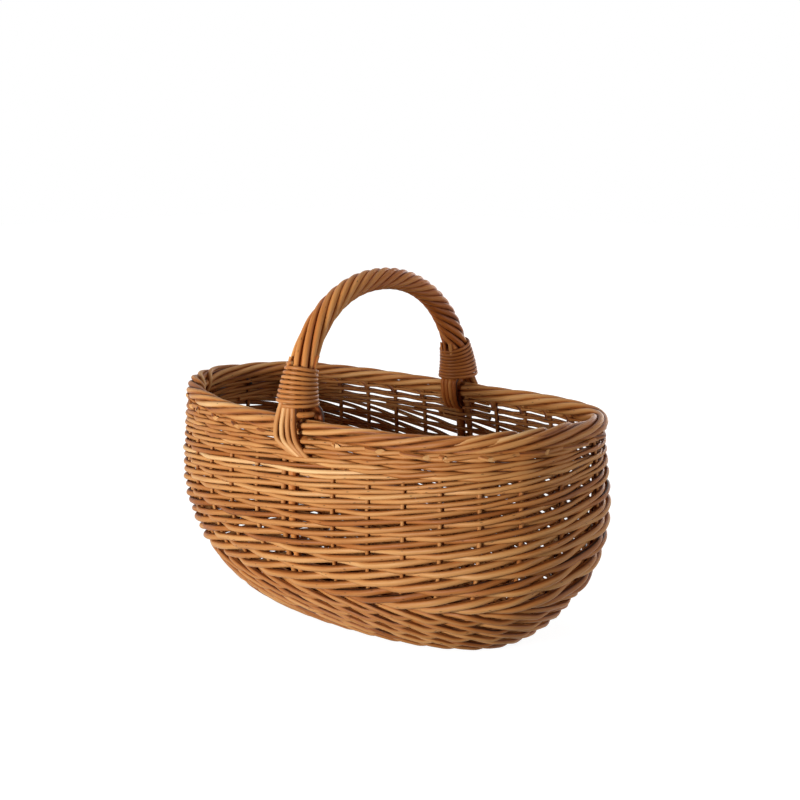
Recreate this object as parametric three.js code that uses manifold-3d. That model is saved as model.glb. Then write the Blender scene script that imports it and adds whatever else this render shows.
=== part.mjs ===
// Wicker firewood basket: an oval, round-bottomed basket of woven willow rods with one fixed bow handle.
// Millimetres, +Z up. X runs along the basket, the bow stands in the plane X = 0, the base rests on Z = 0.
import * as THREE from "three";
import { mergeVertices } from "three/addons/utils/BufferGeometryUtils.js";
import Module from "manifold-3d";

// Clearances
const FIT_GAP = 0.3; // between two pieces that touch
const WEAVE_GAP = 0.7; // between a stake and the row that passes it
const ROW_GAP = 1.6; // between one row of weave and the next

// The wall's middle surface: half length, half width and height of its three ruling ovals
const FOOT_HALF_LENGTH = 166;
const FOOT_HALF_WIDTH = 78;
const FOOT_HEIGHT = 7.5;
const BELLY_HALF_LENGTH = 242;
const BELLY_HALF_WIDTH = 134;
const BELLY_HEIGHT = 135;
const RIM_HALF_LENGTH = 235;
const RIM_HALF_WIDTH = 126;
const RIM_HEIGHT = 216;
const OVAL_POWER = 2.6; // 2 is an ellipse, more is squarer
const FOOT_POWER = 2.2; // the same at the foot
const SHEER = 7; // how much higher the wall's two ends stand than its sides
const SHEER_HEIGHT = 70; // up to which the ends rise
const FOOT_TURN = THREE.MathUtils.degToRad(21); // where the wall's lower curve starts on its ellipse

// Stakes
const STAKE_COUNT = 30; // a multiple of six: the rows close and the two bow legs face each other
const STAKE_RADIUS = 2.3;
const STAKE_SIDES = 5;

// Rows of weave
const UPSETT_ROWS = 4;
const UPSETT_ROW_HEIGHT = 10.4;
const UPSETT_ROD_THICKNESS = 5;
const SIDING_ROWS = 8;
const SIDING_ROD_SHARE = 0.35; // a siding rod's thickness over its row's pitch
const SIDING_TAPER = 1.05; // each siding row is lower than the one under it by this
const TOP_ROWS = 2;
const TOP_ROW_HEIGHT = 11.4;
const TOP_ROD_THICKNESS = 5;
const FIRST_ROW_RISE = 3; // along the wall, from the mat's edge to the first row
const LAST_ROW_DROP = 3; // along the wall, from the last row to the border
const WEAVE_REPEAT = 3; // in front of two stakes, behind one

// Rolled border
const BORDER_RADIUS = 9; // across the flats of its section
const BORDER_SIDES = 8;

// Base
const MAT_THICKNESS = 11.5;
const LONG_STICKS = 3;
const LONG_STICK_RADIUS = 4;
const LONG_STICK_SPACING = 34;
const CROSS_STICKS = 4;
const CROSS_STICK_RADIUS = 2.8;
const CROSS_STICK_SPACING = 70;
const STICK_EDGE = 5; // from a stick's end to the mat's edge
const STICK_SIDES = 8;

// Bow handle
const HANDLE_RISE = 135; // from the border's top to the handle's top
const HANDLE_POWER = 2.1; // 2 is an elliptical arch, more is squarer
const BOW_RADIUS = 5.5;
const BOW_SIDES = 10;
const GRIP_RADIUS = 11.2;
const GRIP_STEPS = 9; // over half the arch above the lappings
const HANDLE_LEAN = 6; // at the top, towards the near side
const TAIL_NECK = 3; // from the border's top up to the roping's foot

// Lapping round each foot of the handle
const LAPPING_TURNS = 9;
const LAPPING_ROD_RADIUS = 1.45;
const LAPPING_PITCH = 4;
const NEAR_LAPPING_RISE = 10; // from the roping's foot to the first turn
const FAR_LAPPING_RISE = 3;
const LAPPING_STEPS = 16; // in each turn
const LAPPING_SIDES = 5;
const BUNDLE_FOOT_RADIUS = 20; // the roping at its foot
const BUNDLE_TOP_RADIUS = 13.2; // the roping under the last turn
const BUNDLE_STEPS = 5;
const BUNDLE_EASE = 70; // from the last turn up to the narrow grip

// Tails of the roping that tuck down past the border
const TAIL_WIDTH = 24;
const TAIL_TIP_WIDTH = 15;
const TAIL_THICKNESS = 5;
const TAIL_SWEEP = 12; // sideways, at the tip
const INNER_TAIL_DROP = 8; // below the border, inside the basket
const TAIL_STEPS = 7;
const TAIL_CLEARANCE = 0.05; // between the outer tails' tips and the bow legs

const STAKE_COLOUR = 0x8a5a30;
const UPSETT_COLOUR = 0xa9723c;
const SIDING_COLOUR = 0xb98048;
const TOP_COLOUR = 0xb27842;
const BORDER_COLOUR = 0xb67c46;
const MAT_COLOUR = 0x9a683a;
const STICK_COLOUR = 0x8f5f34;
const BOW_COLOUR = 0x9f6a3b;
const ROPING_COLOUR = 0xb87a45;
const LAPPING_COLOUR = 0x9a5f33;
const ROUGHNESS = 0.55;

// Derived places
const BORDER_TOP = RIM_HEIGHT + BORDER_RADIUS;
const WALL_TOP = RIM_HEIGHT - BORDER_RADIUS - FIT_GAP;
const ARCH_RISE = HANDLE_RISE - GRIP_RADIUS;
const ROPING_FOOT = BORDER_TOP + TAIL_NECK;
const LAPPING_LENGTH = LAPPING_TURNS * LAPPING_PITCH;
const BUNDLE_TOP = ROPING_FOOT + NEAR_LAPPING_RISE + LAPPING_LENGTH;
const HALF_STAKES = STAKE_COUNT / 2;
const NEAR_ANGLE = 1.5 * Math.PI; // the near bow leg, on -Y
const UP = new THREE.Vector3(0, 0, 1);
const DOWN = new THREE.Vector3(0, 0, -1);
const NEARWARD = new THREE.Vector3(0, -1, 0);
const ALONG_X = new THREE.Vector3(1, 0, 0);

const wasm = await Module();
wasm.setup();
const basket = new THREE.Group();

// Adds one named piece in its own willow colour.
function addPiece(name, geometry, colour) {
  const material = new THREE.MeshStandardMaterial({ color: colour, roughness: ROUGHNESS, metalness: 0 });
  const mesh = new THREE.Mesh(geometry, material);
  mesh.name = name;
  basket.add(mesh);
  return mesh;
}

// A number with its sign kept and its size raised to a power.
function signedPower(value, power) {
  return Math.sign(value) * Math.abs(value) ** power;
}

// Wall shape

// Half length, half width and power of the wall's oval at a height.
function wallOval(height) {
  if (height < BELLY_HEIGHT) {
    const curveHeight = (BELLY_HEIGHT - FOOT_HEIGHT) / Math.cos(FOOT_TURN);
    const drop = (BELLY_HEIGHT - height) / curveHeight;
    const share = (1 - Math.sqrt(1 - drop * drop)) / (1 - Math.sin(FOOT_TURN));
    return {
      a: BELLY_HALF_LENGTH - share * (BELLY_HALF_LENGTH - FOOT_HALF_LENGTH),
      b: BELLY_HALF_WIDTH - share * (BELLY_HALF_WIDTH - FOOT_HALF_WIDTH),
      power: OVAL_POWER - share * (OVAL_POWER - FOOT_POWER),
    };
  }
  const share = ((height - BELLY_HEIGHT) / (RIM_HEIGHT - BELLY_HEIGHT)) ** 2;
  return {
    a: BELLY_HALF_LENGTH - share * (BELLY_HALF_LENGTH - RIM_HALF_LENGTH),
    b: BELLY_HALF_WIDTH - share * (BELLY_HALF_WIDTH - RIM_HALF_WIDTH),
    power: OVAL_POWER,
  };
}

// A point of an oval at an angle, raised by the wall's sheer towards the basket's ends.
function ovalPoint(oval, angle, height) {
  const x = signedPower(Math.cos(angle), 2 / oval.power);
  const y = signedPower(Math.sin(angle), 2 / oval.power);
  const lift = SHEER * x * x * THREE.MathUtils.smoothstep(height, FOOT_HEIGHT, SHEER_HEIGHT);
  return new THREE.Vector3(oval.a * x, oval.b * y, height + lift);
}

// Heights along the wall from its foot to its top, against the distance walked up its side.
const WALK_STEPS = 400;
const wallWalk = [{ distance: 0, height: FOOT_HEIGHT }];
for (let step = 1; step <= WALK_STEPS; step++) {
  const last = wallWalk[step - 1];
  const height = FOOT_HEIGHT + ((WALL_TOP - FOOT_HEIGHT) * step) / WALK_STEPS;
  const rise = height - last.height;
  const spread = wallOval(height).b - wallOval(last.height).b;
  wallWalk.push({ distance: last.distance + Math.hypot(rise, spread), height });
}
const WALL_LENGTH = wallWalk[WALK_STEPS].distance;

function heightAt(distance) {
  const after = wallWalk.findIndex((mark) => mark.distance >= distance);
  if (after <= 0) return after === 0 ? FOOT_HEIGHT : WALL_TOP;
  const low = wallWalk[after - 1];
  const high = wallWalk[after];
  const share = (distance - low.distance) / (high.distance - low.distance);
  return low.height + share * (high.height - low.height);
}

// The wall at an angle and height: its point, and its directions outward, along the oval and upward.
function wallFrame(angle, height) {
  const oval = wallOval(height);
  const point = ovalPoint(oval, angle, height);
  const step = 0.01;
  const above = wallOval(height + step);
  const growA = (above.a - oval.a) / step;
  const growB = (above.b - oval.b) / step;
  const x = point.x / oval.a;
  const y = point.y / oval.b;
  const slopeX = signedPower(x, oval.power - 1) / oval.a;
  const slopeY = signedPower(y, oval.power - 1) / oval.b;
  const slopeZ = -(Math.abs(x) ** oval.power * growA) / oval.a - (Math.abs(y) ** oval.power * growB) / oval.b;
  const out = new THREE.Vector3(slopeX, slopeY, slopeZ).normalize();
  const along = new THREE.Vector3(-slopeY, slopeX, 0).normalize();
  const level = new THREE.Vector3(slopeX, slopeY, 0).normalize();
  return { point, out, along, level, up: out.clone().cross(along) };
}

// Angles at which the stakes stand evenly round the foot oval, from the near bow leg.
function stakeAngles() {
  const samples = 2400;
  const foot = wallOval(FOOT_HEIGHT);
  const walked = [0];
  for (let i = 1; i <= samples; i++) {
    const from = ovalPoint(foot, NEAR_ANGLE + (2 * Math.PI * (i - 1)) / samples, 0);
    const to = ovalPoint(foot, NEAR_ANGLE + (2 * Math.PI * i) / samples, 0);
    walked.push(walked[i - 1] + from.distanceTo(to));
  }
  const angles = [];
  for (let stake = 0; stake < STAKE_COUNT; stake++) {
    const wanted = (walked[samples] * stake) / STAKE_COUNT;
    const after = Math.max(1, walked.findIndex((distance) => distance >= wanted));
    const share = (wanted - walked[after - 1]) / (walked[after] - walked[after - 1]);
    angles.push(NEAR_ANGLE + (2 * Math.PI * (after - 1 + share)) / samples);
  }
  return angles;
}
const ANGLES = stakeAngles();

// The stakes' angles with one more halfway between each two.
const RING_ANGLES = ANGLES.flatMap((angle, i) => {
  const next = i + 1 < STAKE_COUNT ? ANGLES[i + 1] : ANGLES[0] + 2 * Math.PI;
  return [angle, (angle + next) / 2];
});

// Solids from cross-sections

// Joins equal cross-sections, each turning from u to v with u x v along the path, into one closed solid.
// The edges across its faces run back round the sections where it climbs.
function loft(sections, ring, climbs = false) {
  const sides = sections[0].length;
  const index = [];
  const spans = ring ? sections.length : sections.length - 1;
  for (let i = 0; i < spans; i++) {
    const here = i * sides;
    const there = ((i + 1) % sections.length) * sides;
    for (let k = 0; k < sides; k++) {
      const next = (k + 1) % sides;
      const [from, to] = climbs ? [here + next, there + k] : [here + k, there + next];
      index.push(here + k, here + next, to, from, there + next, there + k);
    }
  }
  const last = (sections.length - 1) * sides;
  for (let k = 1; !ring && k < sides - 1; k++) {
    index.push(0, k + 1, k, last, last + k, last + k + 1);
  }
  return new THREE.BufferGeometry().setFromPoints(sections.flat()).setIndex(index);
}

// A loft with a bore: the outer and inner sections stand at the same places.
function sleeve(outer, inner) {
  const sides = outer[0].length;
  const innerStart = outer.length * sides;
  const last = (outer.length - 1) * sides;
  const index = [];
  for (let k = 0; k < sides; k++) {
    const next = (k + 1) % sides;
    for (let i = 0; i < outer.length - 1; i++) {
      const here = i * sides;
      const there = here + sides;
      index.push(here + k, here + next, there + next, here + k, there + next, there + k);
      const a = innerStart + here;
      const b = innerStart + there;
      index.push(a + k, b + next, a + next, a + k, b + k, b + next);
    }
    index.push(k, innerStart + k, innerStart + next, k, innerStart + next, next);
    const end = innerStart + last;
    index.push(last + k, end + next, end + k, last + k, last + next, end + next);
  }
  return new THREE.BufferGeometry().setFromPoints([...outer.flat(), ...inner.flat()]).setIndex(index);
}

// A point off a centre by amounts along two directions.
function offset(centre, u, amountU, v, amountV) {
  return centre.clone().addScaledVector(u, amountU).addScaledVector(v, amountV);
}

// A round section with its corners on the radius.
function roundSection(centre, u, v, radius, sides) {
  return Array.from({ length: sides }, (_, k) => {
    const angle = (2 * Math.PI * (k + 0.5)) / sides;
    return offset(centre, u, radius * Math.cos(angle), v, radius * Math.sin(angle));
  });
}

// A flat rod's section, six-sided, tall along u and thick along v.
function rodSection(centre, u, v, height, thickness) {
  const corners = [[0.5, 0], [0.25, 0.5], [-0.25, 0.5], [-0.5, 0], [-0.25, -0.5], [0.25, -0.5]];
  return corners.map(([tall, thick]) => offset(centre, u, tall * height, v, thick * thickness));
}

// A section of a siding row in front of a stake: two rods side by side.
function pairSection(frame, pitch, reach, radius) {
  const corners = [
    [0.35, reach],
    [0.17, reach + radius],
    [0, reach + 0.35 * radius],
    [-0.17, reach + radius],
    [-0.35, reach],
    [-0.25, reach - radius],
    [0.25, reach - radius],
  ];
  return corners.map(([tall, out]) => offset(frame.point, frame.up, tall * pitch, frame.out, out));
}

// A section of a siding row between two stakes: one rod in front, one coming out and one going in beside it.
function crossingSection(frame, pitch, reach, radius) {
  const corners = [
    [0.46, 0],
    [0.33, radius],
    [0, reach + radius],
    [-0.33, radius],
    [-0.46, 0],
    [-0.3, -radius],
    [0.3, -radius],
  ];
  return corners.map(([tall, out]) => offset(frame.point, frame.up, tall * pitch, frame.out, out));
}

// A solid for cutting, and the geometry that comes back from a cut.
function solidOf(geometry) {
  const bare = geometry.clone();
  bare.deleteAttribute("normal");
  bare.deleteAttribute("uv");
  const merged = mergeVertices(bare);
  const vertProperties = merged.getAttribute("position").array;
  const triVerts = new Uint32Array(merged.index.array);
  return new wasm.Manifold(new wasm.Mesh({ numProp: 3, vertProperties, triVerts }));
}

function geometryOf(solid) {
  const mesh = solid.getMesh();
  const positions = new THREE.BufferAttribute(mesh.vertProperties, 3);
  return new THREE.BufferGeometry().setAttribute("position", positions).setIndex([...mesh.triVerts]);
}

// Rows of weave, listed from the foot up

const upsettLength = UPSETT_ROWS * (UPSETT_ROW_HEIGHT + ROW_GAP);
const topLength = TOP_ROWS * (TOP_ROW_HEIGHT + ROW_GAP);
const sidingLength = WALL_LENGTH - FIRST_ROW_RISE - LAST_ROW_DROP - upsettLength - topLength;
const sidingMeanHeight = sidingLength / SIDING_ROWS - ROW_GAP;

const upsett = {
  name: "upsett_row",
  height: UPSETT_ROW_HEIGHT,
  taper: 0,
  thickness: () => UPSETT_ROD_THICKNESS,
  colour: UPSETT_COLOUR,
};
const siding = {
  name: "siding_row",
  height: sidingMeanHeight,
  taper: SIDING_TAPER,
  thickness: (pitch) => SIDING_ROD_SHARE * pitch,
  colour: SIDING_COLOUR,
};
const topping = {
  name: "top_row",
  height: TOP_ROW_HEIGHT,
  taper: 0,
  thickness: () => TOP_ROD_THICKNESS,
  colour: TOP_COLOUR,
};

// The rows of one kind, one above the other, from a distance up the wall.
function stackRows(kind, count, start) {
  let foot = start;
  return Array.from({ length: count }, (_, i) => {
    const height = kind.height + kind.taper * ((count - 1) / 2 - i);
    const pitch = height + ROW_GAP;
    const level = heightAt(foot + pitch / 2);
    foot += pitch;
    const thickness = kind.thickness(pitch);
    return { name: `${kind.name}_${i + 1}`, height, pitch, level, thickness, colour: kind.colour };
  });
}
const upsettRows = stackRows(upsett, UPSETT_ROWS, FIRST_ROW_RISE);
const sidingRows = stackRows(siding, SIDING_ROWS, FIRST_ROW_RISE + upsettLength);
const topRows = stackRows(topping, TOP_ROWS, FIRST_ROW_RISE + upsettLength + sidingLength);
const rows = [...upsettRows, ...sidingRows, ...topRows];

// A bow leg swells from a stake's size at the foot to the bow's full size under the border.
function legRadius(height) {
  const share = Math.min(1, (height - FOOT_HEIGHT) / (WALL_TOP - FOOT_HEIGHT));
  return STAKE_RADIUS + share * (BOW_RADIUS - STAKE_RADIUS);
}

// How far a row's middle stands from the wall's middle surface where it passes a stake.
function rowReach(row, stake) {
  const stakeRadius = stake % HALF_STAKES === 0 ? legRadius(row.level) : STAKE_RADIUS;
  return stakeRadius + WEAVE_GAP + row.thickness / 2;
}

// A plain row goes behind every third stake, one stake off from the row above.
// The top row is behind the bow.
[...upsettRows, ...topRows].forEach((row, number, plainRows) => {
  const fromTop = plainRows.length - 1 - number;
  const sections = ANGLES.map((angle, stake) => {
    const frame = wallFrame(angle, row.level);
    const reach = rowReach(row, stake);
    const side = (stake + fromTop) % WEAVE_REPEAT === 0 ? -reach : reach;
    const centre = frame.point.clone().addScaledVector(frame.out, side);
    return rodSection(centre, frame.up, frame.out, row.height, row.thickness);
  });
  addPiece(row.name, loft(sections, true), row.colour);
});

// A siding row holds its rods where they pass in front of the stakes.
// Each rod climbs from the lower place in the pair at one stake to the upper place at the next.
sidingRows.forEach((row) => {
  const sections = RING_ANGLES.map((angle, i) => {
    const frame = wallFrame(angle, row.level);
    const section = i % 2 === 0 ? pairSection : crossingSection;
    return section(frame, row.pitch, rowReach(row, i / 2), row.thickness / 2);
  });
  addPiece(row.name, loft(sections, true, true), row.colour);
});

// Stakes

// Sections of a rod that climbs the wall through the rows, its butt cut square to the mat's edge.
function wallRod(angle, radiusAt, sides) {
  const foot = wallFrame(angle, FOOT_HEIGHT);
  const butt = roundSection(foot.point, DOWN, foot.along, radiusAt(FOOT_HEIGHT), sides);
  const body = rows.map((row) => {
    const frame = wallFrame(angle, row.level);
    return roundSection(frame.point, frame.out, frame.along, radiusAt(row.level), sides);
  });
  return [butt, ...body];
}

// A level section of such a rod near the border.
function levelSection(angle, height, radius, sides) {
  const frame = wallFrame(angle, height);
  return roundSection(frame.point, frame.level, frame.along, radius, sides);
}

for (let stake = 0; stake < STAKE_COUNT; stake++) {
  if (stake % HALF_STAKES !== 0) {
    const sections = wallRod(ANGLES[stake], () => STAKE_RADIUS, STAKE_SIDES);
    sections.push(levelSection(ANGLES[stake], WALL_TOP, STAKE_RADIUS, STAKE_SIDES));
    addPiece(`stake_${stake}`, loft(sections, false), STAKE_COLOUR);
  }
}

// Bow handle

// The arch's middle line, by an angle from 0 at the near spring to pi at the far one.
function archPoint(angle) {
  const power = 2 / HANDLE_POWER;
  const y = -RIM_HALF_WIDTH * signedPower(Math.cos(angle), power) - HANDLE_LEAN * Math.sin(angle) ** 2;
  return new THREE.Vector3(0, y, BORDER_TOP + ARCH_RISE * Math.sin(angle) ** power);
}

// The angle at which the near half of the arch reaches a height.
function archAngle(height) {
  return Math.asin(((height - BORDER_TOP) / ARCH_RISE) ** (HANDLE_POWER / 2));
}

// A place on the arch with its direction outward, square to the arch in its own plane.
function archStation(angle) {
  const step = 0.002;
  const before = archPoint(Math.max(0, angle - step));
  const after = archPoint(Math.min(Math.PI, angle + step));
  const centre = archPoint(angle);
  return { centre, out: ALONG_X.clone().cross(after.sub(before)).normalize() };
}

// Even steps from one number to another, both ends kept.
function evenSteps(from, to, steps) {
  return Array.from({ length: steps + 1 }, (_, i) => from + ((to - from) * i) / steps);
}

// Angles of the roping's stations: closer under the lapping, even over the arch above, the far half mirrored.
const nearAngles = [
  ...evenSteps(ROPING_FOOT, BUNDLE_TOP, BUNDLE_STEPS).map(archAngle),
  ...evenSteps(archAngle(BUNDLE_TOP), Math.PI / 2, GRIP_STEPS).slice(1),
];
const farAngles = nearAngles.slice(0, -1).reverse().map((angle) => Math.PI - angle);
const ropingStations = [...nearAngles, ...farAngles].map(archStation);

// The roping's outer radius at a height: a spread bundle under the lapping, drawn in to the grip above it.
function bundleRadius(height) {
  const lap = THREE.MathUtils.clamp((height - ROPING_FOOT) / (BUNDLE_TOP - ROPING_FOOT), 0, 1);
  const ease = THREE.MathUtils.smoothstep(height, BUNDLE_TOP, BUNDLE_TOP + BUNDLE_EASE);
  const bundle = THREE.MathUtils.lerp(BUNDLE_FOOT_RADIUS, BUNDLE_TOP_RADIUS, lap);
  return THREE.MathUtils.lerp(bundle, GRIP_RADIUS, ease);
}

// A round section of the arch.
function archSection(station, radius) {
  return roundSection(station.centre, station.out, ALONG_X, radius, BOW_SIDES);
}

// The bow with room left round it: up the near leg, over the arch and down the far leg, in one rod.
function bowGeometry(room) {
  const nearLeg = wallRod(ANGLES[0], (height) => legRadius(height) + room, BOW_SIDES);
  nearLeg.push(levelSection(ANGLES[0], RIM_HEIGHT, BOW_RADIUS + room, BOW_SIDES));
  nearLeg.push(archSection(archStation(0), BOW_RADIUS + room));
  const arch = ropingStations.map((station) => archSection(station, BOW_RADIUS + room));
  const mirror = new THREE.Vector3(1, -1, 1);
  const farLeg = nearLeg.map((section) => section.map((point) => point.clone().multiply(mirror))).reverse();
  return loft([...nearLeg, ...arch, ...farLeg], false);
}
addPiece("handle_bow", bowGeometry(0), BOW_COLOUR);

const boreRadius = BOW_RADIUS + FIT_GAP / Math.cos(Math.PI / BOW_SIDES);
const ropingOuter = ropingStations.map((station) => archSection(station, bundleRadius(station.centre.z)));
const ropingBore = ropingStations.map((station) => archSection(station, boreRadius));
addPiece("handle_roping", sleeve(ropingOuter, ropingBore), ROPING_COLOUR);

// Lapping: one rod wound round a foot of the roping, on the half of the arch that the angles give.
function lappingPath(rise, angleAt, across) {
  const count = LAPPING_TURNS * LAPPING_STEPS;
  const chordRoom = Math.cos(Math.PI / LAPPING_STEPS);
  const points = evenSteps(0, 1, count).map((share, i) => {
    const height = ROPING_FOOT + rise + share * LAPPING_LENGTH;
    const station = archStation(angleAt(height));
    const radius = (bundleRadius(height) + FIT_GAP) / chordRoom + LAPPING_ROD_RADIUS;
    const turn = (2 * Math.PI * i) / LAPPING_STEPS;
    return offset(station.centre, station.out, radius * Math.cos(turn), across, radius * Math.sin(turn));
  });
  const straight = 2 * LAPPING_ROD_RADIUS;
  const first = points[0].clone().sub(points[1]).setLength(straight).add(points[0]);
  const last = points[count].clone().sub(points[count - 1]).setLength(straight).add(points[count]);
  return [first, ...points, last];
}

// The least gap between the surfaces of two turns.
function leastSelfGap(points) {
  let least = Infinity;
  for (let i = 0; i < points.length; i++) {
    for (let j = i + LAPPING_STEPS / 2; j < points.length; j++) {
      least = Math.min(least, points[i].distanceTo(points[j]));
    }
  }
  return least - 2 * LAPPING_ROD_RADIUS;
}

function lappingGeometry(points) {
  const sections = points.map((point, i) => {
    const before = points[Math.max(0, i - 1)];
    const after = points[Math.min(points.length - 1, i + 1)];
    const tangent = after.clone().sub(before).normalize();
    const side = UP.clone().addScaledVector(tangent, -UP.dot(tangent)).normalize();
    return roundSection(point, side, tangent.clone().cross(side), LAPPING_ROD_RADIUS, LAPPING_SIDES);
  });
  return loft(sections, false);
}
const nearLapping = lappingPath(NEAR_LAPPING_RISE, archAngle, ALONG_X);
const farAngle = (height) => Math.PI - archAngle(height);
const farLapping = lappingPath(FAR_LAPPING_RISE, farAngle, ALONG_X.clone().negate());
const lappingGap = Math.min(leastSelfGap(nearLapping), leastSelfGap(farLapping));
console.log(`least gap between turns of a lapping: ${lappingGap.toFixed(2)} mm`);
addPiece("near_lapping", lappingGeometry(nearLapping), LAPPING_COLOUR);
addPiece("far_lapping", lappingGeometry(farLapping), LAPPING_COLOUR);

// Tails of the roping: flat bundles that run down past the border, sweep sideways and tuck in below it.
function tailGeometry(distance, tip) {
  const sections = evenSteps(0, 1, TAIL_STEPS).map((share) => {
    const height = THREE.MathUtils.lerp(ROPING_FOOT - FIT_GAP, tip, share);
    const centre = new THREE.Vector3(TAIL_SWEEP * share * share, -distance, height);
    const width = THREE.MathUtils.lerp(TAIL_WIDTH, TAIL_TIP_WIDTH, share);
    return rodSection(centre, ALONG_X, NEARWARD, width, TAIL_THICKNESS);
  });
  return loft(sections, false);
}
const tailReach = BORDER_RADIUS + FIT_GAP + TAIL_THICKNESS / 2;
const tuckRow = rows[rows.length - 2];
const tuckFrame = wallFrame(ANGLES[0], tuckRow.level);
const tuckOut = rowReach(tuckRow, 0) + tuckRow.thickness / 2;
const tuckHeight = offset(tuckFrame.point, tuckFrame.out, tuckOut, tuckFrame.up, tuckRow.height / 2).z;
const tailTip = tuckHeight + FIT_GAP;
const legFace = wallOval(tailTip).b + legRadius(tailTip) * Math.cos(Math.PI / BOW_SIDES);
const legReach = legFace + TAIL_CLEARANCE + TAIL_THICKNESS / 2;
const outerTail = () => tailGeometry(Math.max(RIM_HALF_WIDTH + tailReach, legReach), tailTip);
const innerTail = () => tailGeometry(RIM_HALF_WIDTH - tailReach, WALL_TOP - INNER_TAIL_DROP);
addPiece("near_outer_tails", outerTail(), ROPING_COLOUR);
addPiece("near_inner_tails", innerTail(), ROPING_COLOUR);
addPiece("far_outer_tails", outerTail(), ROPING_COLOUR).rotation.z = Math.PI;
addPiece("far_inner_tails", innerTail(), ROPING_COLOUR).rotation.z = Math.PI;

// Rolled border, with a hole for each bow leg
const rimOval = wallOval(RIM_HEIGHT);
const borderCorner = BORDER_RADIUS / Math.cos(Math.PI / BORDER_SIDES);
const borderSections = RING_ANGLES.map((angle) => {
  const frame = wallFrame(angle, RIM_HEIGHT);
  return roundSection(ovalPoint(rimOval, angle, RIM_HEIGHT), UP, frame.level, borderCorner, BORDER_SIDES);
});
const border = solidOf(loft(borderSections, true)).subtract(solidOf(bowGeometry(FIT_GAP)));
addPiece("rim_border", geometryOf(border), BORDER_COLOUR);

// Base: a woven mat with long sticks let into its top and cross sticks let into its underside
const matOval = { a: FOOT_HALF_LENGTH - FIT_GAP, b: FOOT_HALF_WIDTH - FIT_GAP, power: FOOT_POWER };
const matOutline = RING_ANGLES.map((angle) => ovalPoint(matOval, angle, 0));
const matShape = new THREE.Shape(matOutline.map((point) => new THREE.Vector2(point.x, point.y)));
const matBlank = new THREE.ExtrudeGeometry(matShape, { depth: MAT_THICKNESS, bevelEnabled: false });

// Half the mat's extent along one half axis, at a distance across the other.
function matReach(along, across, distance) {
  return along * (1 - (Math.abs(distance) / across) ** FOOT_POWER) ** (1 / FOOT_POWER);
}

// A round stick along Y, and the room it needs.
function stickGeometry(radius, halfLength) {
  return new THREE.CylinderGeometry(radius, radius, 2 * halfLength, STICK_SIDES);
}
const grooveRoom = (radius) => (radius + FIT_GAP) / Math.cos(Math.PI / STICK_SIDES);
const crossHeight = CROSS_STICK_RADIUS + FIT_GAP;
let mat = solidOf(matBlank);
for (let i = 0; i < LONG_STICKS; i++) {
  const y = (i - (LONG_STICKS - 1) / 2) * LONG_STICK_SPACING;
  const half = matReach(matOval.a, matOval.b, y) - STICK_EDGE;
  const room = stickGeometry(grooveRoom(LONG_STICK_RADIUS), half + FIT_GAP);
  mat = mat.subtract(solidOf(room.rotateZ(Math.PI / 2).translate(0, y, MAT_THICKNESS)));
  const stick = addPiece(`long_stick_${i + 1}`, stickGeometry(LONG_STICK_RADIUS, half), STICK_COLOUR);
  stick.rotation.z = Math.PI / 2;
  stick.position.set(0, y, MAT_THICKNESS);
}
for (let i = 0; i < CROSS_STICKS; i++) {
  const x = (i - (CROSS_STICKS - 1) / 2) * CROSS_STICK_SPACING;
  const half = matReach(matOval.b, matOval.a, x) - STICK_EDGE;
  const roomRadius = grooveRoom(CROSS_STICK_RADIUS);
  const room = stickGeometry(roomRadius, half + FIT_GAP).translate(x, 0, crossHeight);
  const mouth = new THREE.BoxGeometry(2 * roomRadius, 2 * (half + FIT_GAP), 2 * crossHeight);
  mat = mat.subtract(solidOf(room)).subtract(solidOf(mouth.translate(x, 0, 0)));
  const stick = addPiece(`cross_stick_${i + 1}`, stickGeometry(CROSS_STICK_RADIUS, half), STICK_COLOUR);
  stick.position.set(x, 0, crossHeight);
}
addPiece("base_mat", geometryOf(mat), MAT_COLOUR);

export default basket;
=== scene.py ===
# Wicker firewood basket: an oval, round-bottomed basket of woven willow rods with one fixed bow handle.
# Metres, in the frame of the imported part: X along the basket, the bow in the plane X = 0, +Z up.
import math

import bpy
import numpy as np
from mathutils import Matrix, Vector


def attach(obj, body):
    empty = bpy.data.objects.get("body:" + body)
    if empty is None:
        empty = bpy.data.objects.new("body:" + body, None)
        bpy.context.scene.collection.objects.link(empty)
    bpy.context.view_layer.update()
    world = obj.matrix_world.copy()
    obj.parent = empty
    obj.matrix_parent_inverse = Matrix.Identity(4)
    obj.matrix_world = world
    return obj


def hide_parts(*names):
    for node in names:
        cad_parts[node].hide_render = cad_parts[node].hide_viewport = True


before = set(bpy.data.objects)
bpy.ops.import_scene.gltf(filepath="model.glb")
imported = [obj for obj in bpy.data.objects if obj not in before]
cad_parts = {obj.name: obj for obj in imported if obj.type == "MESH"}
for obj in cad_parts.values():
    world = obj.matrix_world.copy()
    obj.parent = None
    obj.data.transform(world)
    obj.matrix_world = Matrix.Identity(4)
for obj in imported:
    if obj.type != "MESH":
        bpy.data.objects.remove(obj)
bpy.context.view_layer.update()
SEED = 11
rng = np.random.default_rng(SEED)

MM = 0.001
UP = np.array([0.0, 0.0, 1.0])
ALONG_X = np.array([1.0, 0.0, 0.0])
ALONG_Y = np.array([0.0, 1.0, 0.0])

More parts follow.
